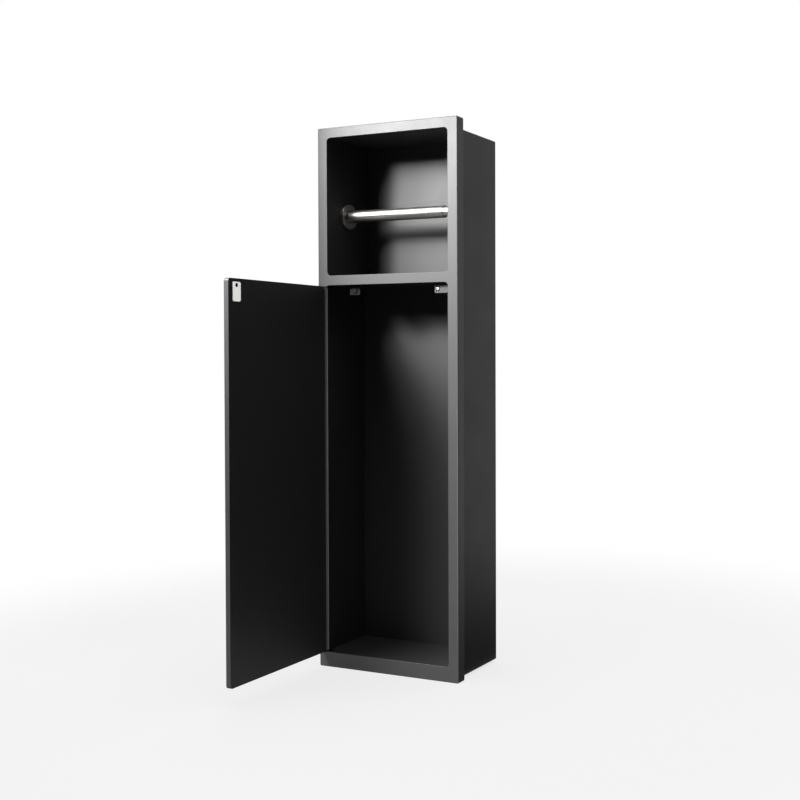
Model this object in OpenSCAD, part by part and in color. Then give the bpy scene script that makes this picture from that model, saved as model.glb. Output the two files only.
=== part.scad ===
// Recessed toilet roll cabinet: an open niche with a sprung roll bar above a
// cupboard for spare rolls, which has an inset door hinged on the left.
// All sizes are in millimetres. X runs across, Y runs into the wall, Z runs up.
// The origin is on the wall plane, at the middle of the frame's bottom edge.

/* [Front frame] */
// Width of the front frame
frame_w = 238; // [220:1:320]
// Height of the front frame
frame_h = 800; // [700:1:1000]
// How far the face of the frame stands off the wall
frame_d = 17; // [15:0.5:25]
// Sheet thickness of the front frame
frame_t = 1.5; // [1.2:0.1:1.8]
// Outer corner radius of the front frame
frame_r = 2; // [1.9:0.1:3.5]
// Width of each stile, beside the openings
stile_w = 16; // [15.5:0.5:24]
// Height of the rail above the niche
top_rail_h = 15; // [10:0.5:30]
// Height of the rail between the niche and the cupboard
mid_rail_h = 14.5; // [10:0.5:24]
// Height of the rail below the cupboard
bottom_rail_h = 22; // [16:0.5:40]
// Height of the niche opening
niche_h = 203; // [160:1:260]
// Corner radius of the niche opening
niche_r = 6; // [2:0.5:8]
// Corner radius of the cupboard opening, beside the hinges
cup_r = 2; // [1:0.1:2.2]
// Corner radius of the cupboard opening, beside the latch
cup_latch_r = 5.5; // [2:0.5:8]

/* [Box] */
// How far the sides of the box are set in from the sides of the frame
side_margin = 6; // [3:0.5:6.5]
// Height of the underside of the box above the frame's bottom edge
bottom_margin = 3.5; // [2:0.5:8]
// Depth inside the box, from the face of the frame to the back panel
inner_d = 105; // [90:1:140]
// How far the sides of the box run on behind the back panel
rear_overrun = 18; // [14:0.5:30]
// Sheet thickness of the box and of everything folded that lines it
sheet_t = 1; // [0.8:0.1:1.2]
// Outer bend radius of the corners of the box
shell_r = 2; // [1.6:0.1:3]
// Depth of the folded lip all round the back panel
back_lip = 11; // [8:0.5:13]
// How far the cupboard's floor lies below the edge of its opening
floor_drop = 1; // [0:0.5:3]
// How far the cupboard's ceiling lies above the edge of its opening
ceiling_rise = 1.5; // [1:0.1:3]

/* [Door] */
// Gap between the door and the frame, all round
door_gap = 1.5; // [1.4:0.1:2.5]
// Thickness of the door
door_t = 8; // [7.5:0.1:10]
// Least corner radius of the door's outline
door_r = 2.5; // [2.3:0.1:4]
// Sheet thickness of the door's folded skin
skin_t = 1.2; // [1:0.1:1.4]
// Sheet thickness of the panel that closes the door's rear
door_panel_t = 1; // [0.8:0.1:1.2]
// Angle at which the door stands open
door_open = 90; // [0:1:100]
// Widest angle to which the door opens
door_max_open = 100; // [95:1:105]

/* [Hinges] */
// Distance from the opening's edge out to the pivot's axis
pivot_x = 6; // [5.8:0.1:6.4]
// Distance from the face of the frame back to the pivot's axis
pivot_y = 4.1; // [3.9:0.05:4.2]
// Diameter of the pivot pins
pin_d = 2.5; // [2:0.1:2.8]
// Radial running clearance of the pins in their bushes
pin_clear = 0.05; // [0.02:0.01:0.1]
// Diameter of the head of a pivot pin
pin_head_d = 4.4; // [3.6:0.1:4.6]
// Height of the head of a pivot pin
pin_head_h = 1.2; // [0.8:0.1:2]
// Wall of the bush around a pivot pin
bush_wall = 0.7; // [0.5:0.05:0.8]
// Thickness of the hinge leaves
leaf_t = 2; // [1.6:0.1:2.5]
// Width of the leaf's arm, which bends round the stile
leaf_arm_w = 3.2; // [2.5:0.1:4]
// Length of the leaf's tongue inside the door
leaf_tongue_l = 28; // [24:1:50]
// Clearance between the moving leaf and the frame
leaf_gap = 0.4; // [0.3:0.05:0.6]
// Height of the steel block that backs each leaf inside the door
block_h = 14; // [10:1:30]

/* [Latch] */
// Distance from the opening's edge in to the plunger's axis
latch_in = 21.8; // [20:0.1:24]
// Distance from the cupboard opening's top edge down to the plunger's axis
latch_down = 8.5; // [7.5:0.1:9.5]
// Diameter of the latch plunger
plunger_d = 4.5; // [3.5:0.1:4.8]
// Travel of the plunger into its housing
plunger_travel = 3; // [2:0.1:4]
// Radial running clearance of the plunger in its housing
plunger_clear = 0.05; // [0.02:0.01:0.1]
// Length of the latch housing
latch_l = 40; // [36:1:60]
// Width of the latch housing
latch_w = 12; // [10:0.5:14]
// Gap between the rear of the closed door and the latch and stop brackets
bracket_gap = 1.7; // [1.4:0.1:2.5]
// Sheet thickness of the latch and stop brackets
bracket_t = 1.5; // [1:0.1:2]
// How far the brackets hang down from the cupboard's ceiling
bracket_drop = 16; // [15:0.5:22]
// Width of the window in the latch bracket
window_w = 5.2; // [5:0.1:6]
// Height of the window in the latch bracket
window_h = 7.6; // [6:0.1:8]
// Width of the strike plate on the door
strike_w = 15.4; // [14:0.1:20]
// Height of the strike plate on the door
strike_h = 26; // [20:0.5:40]
// Thickness of the strike plate
strike_t = 1.2; // [1:0.1:1.5]
// Distance from the door's free edge to the strike plate
strike_edge = 7.1; // [5:0.1:8]
// Distance from the door's top edge to the strike plate
strike_top = 4.7; // [3:0.1:5]
// Distance from the cupboard opening's left edge to the door stop
stop_in = 33.5; // [30:0.5:80]
// Width of the door stop
stop_w = 18; // [12:0.5:24]
// Diameter of the rubber buffer on the door stop
buffer_d = 8; // [6:0.5:12]

/* [Roll bar] */
// Diameter of the roll bar
bar_d = 18; // [16:0.5:22]
// Distance of the roll bar's axis from the back panel
bar_from_back = 53; // [50:0.5:62]
// Height of the roll bar's axis above the niche floor
bar_height = 92.5; // [70:0.5:120]
// Wall of both tubes of the roll bar
tube_wall = 1.05; // [0.8:0.05:1.5]
// Radial clearance between the two tubes, and of the bar in its sockets
bar_clear = 0.1; // [0.05:0.01:0.1]
// How far the roll bar compresses
bar_travel = 8; // [6:0.5:12]
// Length of the cap on the sliding end of the bar
cap_l = 17.5; // [14:0.5:24]
// Diameter of the wall rosettes
rosette_d = 38; // [36:0.5:44]
// Thickness of the wall rosettes
rosette_t = 4.5; // [4:0.1:6]
// Depth of the socket in each rosette that holds the bar
socket_depth = 3; // [2:0.1:3.4]
// Diameter of the shallow recess round the socket
recess_d = 22; // [20:0.5:24]
// Depth of the shallow recess round the socket
recess_depth = 1; // [0.5:0.1:1.5]
// Distance of the rosette screws from the bar's axis
rosette_screw_r = 14; // [13:0.1:14.5]

/* [Rear rails] */
// Width of the flat web of each rear rail
rail_web = 40; // [34:1:60]
// Width of the rail's feet, welded to the back panel
rail_foot = 12; // [8:0.5:20]
// Sheet thickness of the rear rails
rail_t = 1.2; // [1:0.1:1.5]
// Distance from each end of the frame to the middle of the nearer rail
rail_inset = 90; // [70:1:140]
// Distance between the two keyholes
keyhole_pitch = 140; // [100:1:180]
// Diameter of the narrow end of a keyhole
keyhole_d = 5.5; // [4.5:0.1:6.5]
// Diameter of the wide end of a keyhole
keyhole_entry_d = 10; // [9:0.5:12]
// Width of the slot between the two ends of a keyhole
keyhole_slot_w = 3.7; // [3:0.1:3.8]
// Distance between the two ends of a keyhole
keyhole_drop = 11; // [9:0.5:14]

/* [Hidden] */
$fn = 64;

// Small fit used where one piece is fixed into another
fit = 0.02;
// Gap left where two pieces must not rub
gap = 0.3;
// Overshoot of a cutting tool past the face it cuts
over = 1;

// Frame and openings
face_y = -frame_d;
open_w = frame_w - 2 * stile_w;
open_x = open_w / 2;
cup_z0 = bottom_rail_h;
niche_z1 = frame_h - top_rail_h;
niche_z0 = niche_z1 - niche_h;
cup_z1 = niche_z0 - mid_rail_h;
plate_back_y = face_y + frame_t;

// Box
shell_x = frame_w / 2 - side_margin;
shell_in_x = shell_x - sheet_t;
shell_z0 = bottom_margin;
shell_z1 = niche_z1 + sheet_t;
back_y = face_y + inner_d;
shell_y1 = back_y + rear_overrun;
shell_in_r = shell_r - sheet_t;
ceiling_z = cup_z1 + ceiling_rise;
floor_z = cup_z0 - floor_drop;
liner_x = open_x + sheet_t;

// Pivot axis and door, drawn closed
pivot = [-open_x - pivot_x, face_y + pivot_y];
door_x = open_x - door_gap;
door_z0 = cup_z0 + door_gap;
door_z1 = cup_z1 - door_gap;
door_back_y = face_y + door_t;
door_free_r = max(door_r, cup_latch_r - door_gap);
cavity_y0 = face_y + skin_t;
cavity_y1 = door_back_y - door_panel_t;

// Hinge leaf, in plan, measured from the pivot axis
corner_in = max(0, cup_r - sqrt(cup_r ^ 2 - max(0, cup_r - door_gap) ^ 2));
leaf_r1 = norm([pivot_x + corner_in, pivot_y]) + leaf_gap;
leaf_r2 = leaf_r1 + leaf_arm_w;
eye_r = pivot_y - frame_t - gap;
neck_w = pivot_y - frame_t - leaf_gap;
arm_end = 4;
edge_x = pivot_x + door_gap;
tongue_x0 = edge_x + skin_t + gap;
tongue_y0 = cavity_y0 + gap - pivot[1];
tongue_w = cavity_y1 - cavity_y0 - 2 * gap;
leaf_screw_d = 2.5;
leaf_head_d = 4.2;
leaf_head_h = 1.1;
leaf_screw_l = 8;
leaf_screw_in = [9, 6];
leaf_screw_x = [tongue_x0 + leaf_screw_in[0], tongue_x0 + leaf_tongue_l - leaf_screw_in[1]];
block_x0 = -door_x + skin_t + gap;
block_past_leaf = 6;
block_l = leaf_tongue_l + block_past_leaf;
bush_r = pin_d / 2 + pin_clear + bush_wall;
bush_flange_r = eye_r + 0.1;
bush_gap = 0.1;

// Latch and stop
latch_x = open_x - latch_in;
latch_z = cup_z1 - latch_down;
bracket_y = door_back_y + bracket_gap;
window_rim = 2.7;
bracket_x0 = latch_x - window_w / 2 - window_rim;
bracket_x1 = shell_in_x - gap;
bracket_top_z = ceiling_z - bracket_t;
strike_y = door_back_y + strike_t;
tip_y = strike_y + 0.1;
housing_y0 = bracket_y + bracket_t;
housing_h = bracket_drop - bracket_t - 0.5;
plunger_guide = 11;
collar_r = plunger_d / 2 + 0.75;
collar_t = 2;
chamber_r = collar_r + 0.2;
chamber_y0 = housing_y0 + plunger_guide;
latch_spring_l = 18;
chamber_y1 = chamber_y0 + collar_t + plunger_travel + latch_spring_l;
ear_l = 8;
ear_t = 3;
m3_r = 1.5;
m3_hole_r = 1.6;
m3_head_r = 2.8;
m3_head_h = 1.6;
ear_screw_y = housing_y0 + latch_l + ear_l / 2;
side_screw_back = 12;
side_screw_y = housing_y0 + side_screw_back;
side_screw_x = open_x - 3;
stop_x0 = -open_x + stop_in;
stop_screw_back = 10;
stop_screw_y = housing_y0 + stop_screw_back;
stop_flange_l = 20;
screw_reach = 2;
strike_x0 = door_x - strike_edge - strike_w;
strike_z1 = door_z1 - strike_top;
strike_hole_down = 4.5;
strike_hole = [strike_x0 + strike_w / 2, strike_z1 - strike_hole_down];

// Roll bar
bar_y = back_y - bar_from_back;
bar_z = niche_z0 + bar_height;
bar_r = bar_d / 2;
tube_in_r = bar_r - tube_wall;
inner_r = tube_in_r - bar_clear;
socket_floor = rosette_t - socket_depth;
bar_end_x = open_x - socket_floor - 0.05;
plug_rim = 1.5;
plug_l = 10;
cap_x0 = bar_end_x - cap_l;
step_left = 8;
bar_step = bar_travel + step_left;
tube_x1 = cap_x0 - bar_step;
tube_lap = 98;
inner_x0 = tube_x1 - tube_lap;
spring_seat_x = -bar_end_x + plug_l;
m4_r = 2;
m4_head_r = 3.5;
m4_head_h = 2.2;
rosette_edge = 1.2;

// Rear rails
rail_end_x = shell_in_x - sheet_t - gap;
rail_z = [rail_inset, frame_h - rail_inset];

finish_black = "#1c1c1e";
finish_steel = "#b9bbbd";
finish_dark = "#2a2b2d";

// ---------------------------------------------------------------- shapes

// Rectangle from (x0, y0) to (x1, y1) with round corners
module round_rect(x0, x1, y0, y1, r) {
    translate([x0 + r, y0]) square([x1 - x0 - 2 * r, y1 - y0]);
    translate([x0, y0 + r]) square([x1 - x0, y1 - y0 - 2 * r]);
    for (x = [x0 + r, x1 - r], y = [y0 + r, y1 - r])
        translate([x, y]) circle(r = r);
}

// The same, with radius r0 at the corners on x0 and r1 at those on x1
module two_round_rect(x0, x1, y0, y1, r0, r1) {
    translate([x0 + r0, y0]) square([x1 - x0 - r0 - r1, y1 - y0]);
    translate([x0, y0 + r0]) square([x1 - x0 - r1, y1 - y0 - 2 * r0]);
    translate([x0 + r0, y0 + r1]) square([x1 - x0 - r0, y1 - y0 - 2 * r1]);
    for (y = [y0 + r0, y1 - r0]) translate([x0 + r0, y]) circle(r = r0);
    for (y = [y0 + r1, y1 - r1]) translate([x1 - r1, y]) circle(r = r1);
}

// Upright slab from y0 to y1, with an outline drawn in X and Z
module upright(y0, y1)
    translate([0, y1, 0]) rotate([90, 0, 0]) linear_extrude(y1 - y0) children();

// Block between two corners
module block(a, b)
    translate(a) cube(b - a);

// Round bar along X from x0 to x1
module rod_x(x0, x1, r)
    translate([x0, 0, 0]) rotate([0, 90, 0]) cylinder(h = x1 - x0, r = r);

// Round bar along Y from y0 to y1
module rod_y(y0, y1, r)
    translate([0, y0, 0]) rotate([-90, 0, 0]) cylinder(h = y1 - y0, r = r);

// Pan head screw: the head stands on z = 0, the shank runs down
module pan_screw(r, head_r, head_h, l)
    difference() {
        union() {
            cylinder(h = head_h, r = head_r);
            translate([0, 0, -l]) cylinder(h = l + head_h / 2, r = r);
        }
        translate([0, 0, head_h * 0.4]) cylinder(h = head_h, r = r * 0.8, $fn = 6);
    }

// Countersunk screw: its flat head lies in z = 0, the shank runs down
module flat_screw(r, head_r, head_h, l)
    difference() {
        union() {
            translate([0, 0, -head_h]) cylinder(h = head_h, r1 = r, r2 = head_r);
            translate([0, 0, -l]) cylinder(h = l - head_h / 2, r = r);
        }
        translate([0, 0, -head_h * 0.7]) cylinder(h = head_h, r = r * 0.8, $fn = 6);
    }

// Seat for a countersunk head in the face z = 0, with its hole down to -l
module flat_seat(r, head_r, head_h, l) {
    flare = (head_r - r) / head_h;
    translate([0, 0, -head_h])
        cylinder(h = head_h + over, r1 = r + fit, r2 = head_r + fit + flare * over);
    translate([0, 0, -l]) cylinder(h = l - head_h / 2, r = r + fit);
}

// One ring of points round the wire of a coil, at turn t
function coil_ring(t, r, wire, pitch, sides) = [
    for (k = [0 : sides - 1])
        let (a = 360 * k / sides, q = r + wire * cos(a))
        [q * cos(360 * t), q * sin(360 * t), wire + pitch * t + wire * sin(a)]
];

// Compression spring along Z: mean radius r, wire radius wire, height l
module coil(r, wire, l, turns, steps = 16, sides = 6) {
    n = turns * steps;
    pitch = (l - 2 * wire) / turns;
    points = [for (i = [0 : n]) each coil_ring(i / steps, r, wire, pitch, sides)];
    walls = [
        for (i = [0 : n - 1], k = [0 : sides - 1])
            let (m = (k + 1) % sides, a = i * sides, b = a + sides)
            each [[a + k, a + m, b + m], [a + k, b + m, b + k]]
    ];
    ends = [
        [for (k = [sides - 1 : -1 : 0]) k],
        [for (k = [0 : sides - 1]) n * sides + k]
    ];
    polyhedron(points = points, faces = concat(walls, ends));
}

// Places what is drawn for the closed door where the open door stands
module on_door()
    translate([pivot[0], pivot[1], 0]) rotate([0, 0, -door_open])
        translate([-pivot[0], -pivot[1], 0]) children();

// --------------------------------------------------------------- cabinet

// Outline of the box, drawn in X and Z, grown inward by in
module box_outline(in) {
    r = shell_r - in;
    round_rect(-shell_x + in, shell_x - in, shell_z0 + in, shell_z1 - in, r);
}

module front_frame() color(finish_black) {
    w = frame_w / 2;
    upright(face_y, plate_back_y) difference() {
        round_rect(-w, w, 0, frame_h, frame_r);
        two_round_rect(-open_x, open_x, cup_z0, cup_z1, cup_r, cup_latch_r);
        round_rect(-open_x, open_x, niche_z0, niche_z1, niche_r);
    }
    upright(face_y, 0) difference() {
        round_rect(-w, w, 0, frame_h, frame_r);
        round_rect(-w + frame_t, w - frame_t, frame_t, frame_h - frame_t, frame_r - frame_t);
    }
    upright(-frame_t, 0) difference() {
        round_rect(-w, w, 0, frame_h, frame_r);
        box_outline(0);
    }
}

module outer_shell() color(finish_black)
    upright(plate_back_y, shell_y1) difference() {
        box_outline(0);
        box_outline(sheet_t);
    }

module back_panel() color(finish_black) {
    upright(back_y, back_y + sheet_t) box_outline(sheet_t);
    upright(back_y, back_y + back_lip) difference() {
        box_outline(sheet_t);
        translate([-shell_in_x + sheet_t, shell_z0 + 2 * sheet_t])
            square([2 * (shell_in_x - sheet_t), shell_z1 - shell_z0 - 4 * sheet_t]);
    }
}

module niche_liner() color(finish_black)
    difference() {
        union() {
            block([-liner_x, plate_back_y, niche_z0 - sheet_t], [liner_x, back_y, niche_z0]);
            for (s = [0, 1]) mirror([s, 0, 0]) {
                block([open_x, plate_back_y, niche_z0 - sheet_t], [liner_x, back_y, niche_z1]);
                block([open_x, plate_back_y, niche_z1 - sheet_t],
                      [shell_in_x - shell_r, back_y, niche_z1]);
            }
        }
        for (s = [0, 1]) mirror([s, 0, 0])
            rosette_screw_places() rod_x(open_x - over, liner_x + over, m4_r + 0.1);
    }

// Folded pan across the box: a sheet with its upper face at z, and flanges that
// run from it to flange_z on all four sides, with their corners left open
module folded_pan(z, flange_z) {
    lo = min(z - sheet_t, flange_z);
    hi = max(z, flange_z);
    notch = pivot_x + stile_w / 2;
    block([-shell_in_x, plate_back_y, z - sheet_t], [shell_in_x, back_y, z]);
    block([-open_x + 1, plate_back_y, lo], [open_x - 1, plate_back_y + sheet_t, hi]);
    block([-open_x, back_y - sheet_t, lo], [open_x, back_y, hi]);
    for (s = [0, 1]) mirror([s, 0, 0])
        block([shell_in_x - sheet_t, plate_back_y + notch, lo], [shell_in_x, back_y - 2, hi]);
}

module divider_pan() color(finish_black)
    difference() {
        folded_pan(ceiling_z + sheet_t, niche_z0 - sheet_t);
        translate([pivot[0], pivot[1], ceiling_z - over])
            cylinder(h = sheet_t + 2 * over, r = bush_r + fit);
        ceiling_screw_places()
            translate([0, 0, -over]) cylinder(h = sheet_t + 2 * over, r = m3_r + fit);
    }

module floor_tray() color(finish_black)
    difference() {
        folded_pan(floor_z, shell_z0 + shell_r);
        translate([pivot[0], pivot[1], floor_z - sheet_t - over])
            cylinder(h = sheet_t + 2 * over, r = bush_r + fit);
    }

// Hat section rail across the back, with its middle at height z
module rear_rail(z) {
    half = rail_web / 2;
    y0 = back_y + sheet_t;
    block([-rail_end_x, shell_y1 - rail_t, z - half], [rail_end_x, shell_y1, z + half]);
    for (s = [-1, 1]) {
        inner = z + s * (half - rail_t);
        outer = z + s * half;
        foot = z + s * (half + rail_foot);
        block([-rail_end_x, y0, min(inner, outer)], [rail_end_x, shell_y1, max(inner, outer)]);
        block([-rail_end_x, y0, min(inner, foot)], [rail_end_x, y0 + rail_t, max(inner, foot)]);
    }
}

module rear_rail_top() color(finish_black)
    difference() {
        rear_rail(rail_z[1]);
        for (x = [-keyhole_pitch / 2, keyhole_pitch / 2])
            translate([x, shell_y1 - rail_t - over, rail_z[1] + keyhole_drop / 2]) {
                cut = rail_t + 2 * over;
                rod_y(0, cut, keyhole_d / 2);
                translate([0, 0, -keyhole_drop]) rod_y(0, cut, keyhole_entry_d / 2);
                block([-keyhole_slot_w / 2, 0, -keyhole_drop], [keyhole_slot_w / 2, cut, 0]);
            }
    }

module rear_rail_bottom() color(finish_black)
    rear_rail(rail_z[0]);

// ---------------------------------------------------------------- hinges

// Flanged bush that stands on the face z = 0 and runs down through the sheet
module pivot_bush(flange_h)
    translate([pivot[0], pivot[1], 0]) difference() {
        union() {
            cylinder(h = flange_h, r = bush_flange_r);
            translate([0, 0, -sheet_t - 1]) cylinder(h = sheet_t + 1 + flange_h / 2, r = bush_r);
        }
        translate([0, 0, -sheet_t - 2]) cylinder(h = flange_h + 4, r = pin_d / 2 + pin_clear);
    }

module pivot_bush_top() color(finish_steel)
    translate([0, 0, ceiling_z]) mirror([0, 0, 1]) pivot_bush(ceiling_z - door_z1 - bush_gap);

module pivot_bush_bottom() color(finish_steel)
    translate([0, 0, floor_z]) pivot_bush(door_z0 - floor_z - bush_gap);

// Plan of a hinge leaf, measured from the pivot axis: the eye, a neck behind
// the stile, an arm that bends round the stile's edge, and a straight tongue
module leaf_plan() {
    reach = 2 * leaf_r2;
    arm_start = door_max_open - 2;
    bend = [arm_end, (arm_end + arm_start) / 2, arm_start];
    circle(r = eye_r);
    rotate(door_max_open) translate([0, -neck_w]) square([leaf_r2 - 0.3, neck_w]);
    intersection() {
        difference() {
            circle(r = leaf_r2);
            circle(r = leaf_r1);
        }
        polygon([[0, 0], for (a = bend) [reach * cos(a), reach * sin(a)]]);
    }
    translate([tongue_x0, tongue_y0]) square([leaf_tongue_l, tongue_w]);
}

// Hinge leaf with its outer face in z = 0 and its thickness below
module hinge_leaf()
    translate([pivot[0], pivot[1], 0]) difference() {
        translate([0, 0, -leaf_t]) linear_extrude(leaf_t) leaf_plan();
        translate([0, 0, -leaf_t - over]) cylinder(h = leaf_t + 2 * over, r = pin_d / 2 + fit);
        for (x = leaf_screw_x) translate([x, tongue_y0 + tongue_w / 2, 0])
            flat_seat(leaf_screw_d / 2, leaf_head_d / 2, leaf_head_h, leaf_t + over);
    }

module hinge_leaf_top() color(finish_dark)
    on_door() translate([0, 0, door_z1]) hinge_leaf();

module hinge_leaf_bottom() color(finish_dark)
    on_door() translate([0, 0, door_z0]) mirror([0, 0, 1]) hinge_leaf();

module leaf_screws()
    translate([pivot[0], pivot[1] + tongue_y0 + tongue_w / 2, 0])
        for (x = leaf_screw_x) translate([x, 0, 0])
            flat_screw(leaf_screw_d / 2, leaf_head_d / 2, leaf_head_h, leaf_screw_l);

module leaf_screws_top() color(finish_dark)
    on_door() translate([0, 0, door_z1]) leaf_screws();

module leaf_screws_bottom() color(finish_dark)
    on_door() translate([0, 0, door_z0]) mirror([0, 0, 1]) leaf_screws();

// Headed pin: its head lies under the leaf, its end stands in the bush
module pivot_pin(reach)
    translate([pivot[0], pivot[1], 0]) {
        translate([0, 0, -leaf_t - pin_head_h]) cylinder(h = pin_head_h, r = pin_head_d / 2);
        translate([0, 0, -leaf_t - pin_head_h / 2])
            cylinder(h = leaf_t + pin_head_h / 2 + reach, r = pin_d / 2);
    }

module pivot_pin_top() color(finish_steel)
    on_door() translate([0, 0, door_z1]) pivot_pin(ceiling_z - door_z1 + sheet_t + 0.5);

module pivot_pin_bottom() color(finish_steel)
    on_door() translate([0, 0, door_z0]) mirror([0, 0, 1])
        pivot_pin(door_z0 - floor_z + sheet_t + 0.5);

// Steel block that backs a leaf; its top face lies under the leaf
module hinge_block()
    difference() {
        block([block_x0, cavity_y0, -leaf_t - block_h], [block_x0 + block_l, cavity_y1, -leaf_t]);
        for (x = leaf_screw_x)
            translate([pivot[0] + x, pivot[1] + tongue_y0 + tongue_w / 2, -leaf_screw_l - 1])
                cylinder(h = leaf_screw_l + 1, r = leaf_screw_d / 2 + fit);
    }

module hinge_block_top() color(finish_steel)
    on_door() translate([0, 0, door_z1]) hinge_block();

module hinge_block_bottom() color(finish_steel)
    on_door() translate([0, 0, door_z0]) mirror([0, 0, 1]) hinge_block();

// ------------------------------------------------------------------ door

// Space that a leaf needs in the door's edge, below its outer face z = 0
module leaf_pocket() {
    x1 = pivot[0] + leaf_r2 + leaf_gap;
    block([-door_x - over, pivot[1], -leaf_t - gap], [x1, door_back_y + over, over]);
    block([-door_x + skin_t, cavity_y0, -leaf_t - gap],
          [pivot[0] + tongue_x0 + leaf_tongue_l + gap, cavity_y1, over]);
}

// Space that a hinge block takes inside the door, below the outer face z = 0
module block_pocket()
    block([-door_x, face_y, -leaf_t - block_h - gap],
          [block_x0 + block_l + gap, door_back_y + over, over]);

// Runs what is drawn for the door's top edge at its bottom edge too
module at_both_ends() {
    translate([0, 0, door_z1]) children();
    translate([0, 0, door_z0]) mirror([0, 0, 1]) children();
}

// Outline of the door, drawn in X and Z, grown inward by in
module door_outline(in)
    two_round_rect(-door_x + in, door_x - in, door_z0 + in, door_z1 - in,
                   door_r - in, door_free_r - in);

module door_skin() color(finish_black)
    on_door() difference() {
        upright(face_y, cavity_y1) door_outline(0);
        upright(cavity_y0, door_back_y) door_outline(skin_t);
        at_both_ends() leaf_pocket();
    }

module door_core() color("#c9a46b")
    on_door() difference() {
        upright(cavity_y0, cavity_y1) door_outline(skin_t);
        at_both_ends() block_pocket();
        strike_screw_place() rod_y(-over - strike_t - door_panel_t - 4, over, m3_r + fit);
    }

module door_rear_panel() color(finish_black)
    on_door() difference() {
        upright(cavity_y1, door_back_y) door_outline(0);
        at_both_ends() leaf_pocket();
        strike_screw_place() rod_y(-strike_t - door_panel_t - over, over, m3_r + fit);
    }

// ----------------------------------------------------------------- latch

// The strike screw's place, in the outer face of the strike plate
module strike_screw_place()
    translate([strike_hole[0], strike_y, strike_hole[1]]) children();

module strike_plate() color(finish_steel)
    on_door() difference() {
        upright(door_back_y, strike_y)
            round_rect(strike_x0, strike_x0 + strike_w, strike_z1 - strike_h, strike_z1, 2.5);
        strike_screw_place() rotate([-90, 0, 0]) flat_seat(m3_r, m3_r * 1.7, 0.9, strike_t + over);
    }

module strike_screw() color(finish_dark)
    on_door() strike_screw_place() rotate([-90, 0, 0]) flat_screw(m3_r, m3_r * 1.7, 0.9, 6);

// Places of the screws that hold the latch and the stop to the ceiling
module ceiling_screw_places() {
    translate([latch_x, ear_screw_y, ceiling_z]) children();
    translate([side_screw_x, side_screw_y, ceiling_z]) children();
    translate([stop_x0 + stop_w / 2, stop_screw_y, ceiling_z]) children();
}

module latch_bracket() color(finish_black)
    difference() {
        union() {
            upright(bracket_y, housing_y0) {
                round_rect(bracket_x0, bracket_x1, ceiling_z - bracket_drop, ceiling_z - 3, 2);
                translate([bracket_x0, bracket_top_z - 4])
                    square([bracket_x1 - bracket_x0, bracket_t + 4]);
            }
            block([bracket_x0, bracket_y, bracket_top_z],
                  [bracket_x1, ear_screw_y + ear_l / 2, ceiling_z]);
        }
        block([latch_x - window_w / 2, bracket_y - over, latch_z - window_h / 2],
              [latch_x + window_w / 2, housing_y0 + over / 2, latch_z + window_h / 2]);
        ceiling_screw_places()
            translate([0, 0, -bracket_t - over]) cylinder(h = bracket_t + 2 * over, r = m3_r + fit);
    }

module latch_housing() color(finish_dark)
    difference() {
        union() {
            block([latch_x - latch_w / 2, housing_y0, bracket_top_z - housing_h],
                  [latch_x + latch_w / 2, housing_y0 + latch_l, bracket_top_z]);
            block([latch_x - latch_w / 2, housing_y0 + latch_l - 1, bracket_top_z - ear_t],
                  [latch_x + latch_w / 2, housing_y0 + latch_l + ear_l, bracket_top_z]);
        }
        translate([latch_x, 0, latch_z]) {
            rod_y(housing_y0 - over, chamber_y0 + over, plunger_d / 2 + plunger_clear);
            rod_y(chamber_y0, chamber_y1, chamber_r);
        }
        translate([latch_x, ear_screw_y, bracket_top_z - ear_t - over])
            cylinder(h = ear_t + 2 * over, r = m3_hole_r);
    }

module latch_screws() color(finish_steel) {
    translate([latch_x, ear_screw_y, bracket_top_z - ear_t]) mirror([0, 0, 1])
        pan_screw(m3_r, m3_head_r, m3_head_h, ear_t + bracket_t + sheet_t + screw_reach);
    translate([side_screw_x, side_screw_y, bracket_top_z]) mirror([0, 0, 1])
        pan_screw(m3_r, m3_head_r, m3_head_h, bracket_t + sheet_t + screw_reach);
}

module latch_plunger() color(finish_steel)
    translate([latch_x, 0, latch_z]) {
        rod_y(tip_y, chamber_y0 + 1, plunger_d / 2);
        rod_y(chamber_y0 + plunger_clear, chamber_y0 + collar_t, collar_r);
    }

module latch_spring() color(finish_steel) {
    y0 = chamber_y0 + collar_t + fit;
    translate([latch_x, y0, latch_z]) rotate([-90, 0, 0])
        coil(collar_r - 0.7, 0.35, chamber_y1 - fit - y0, 9);
}

module stop_bracket() color(finish_black)
    difference() {
        union() {
            upright(bracket_y, housing_y0) {
                round_rect(stop_x0, stop_x0 + stop_w, ceiling_z - bracket_drop, ceiling_z - 3, 2);
                translate([stop_x0, bracket_top_z - 4]) square([stop_w, bracket_t + 4]);
            }
            block([stop_x0, bracket_y, bracket_top_z],
                  [stop_x0 + stop_w, housing_y0 + stop_flange_l, ceiling_z]);
        }
        ceiling_screw_places()
            translate([0, 0, -bracket_t - over]) cylinder(h = bracket_t + 2 * over, r = m3_r + fit);
    }

module stop_buffer() color("#111111")
    translate([stop_x0 + stop_w / 2, 0, ceiling_z - bracket_drop / 2 - 1.5])
        rod_y(door_back_y + 0.1, bracket_y, buffer_d / 2);

module stop_screw() color(finish_steel)
    translate([stop_x0 + stop_w / 2, stop_screw_y, bracket_top_z]) mirror([0, 0, 1])
        pan_screw(m3_r, m3_head_r, m3_head_h, bracket_t + sheet_t + screw_reach);

// -------------------------------------------------------------- roll bar

// The roll bar's axis
module on_bar()
    translate([0, bar_y, bar_z]) children();

// Places of the two screws behind a rosette
module rosette_screw_places()
    on_bar() for (s = [-1, 1]) translate([0, 0, s * rosette_screw_r]) children();

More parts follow.
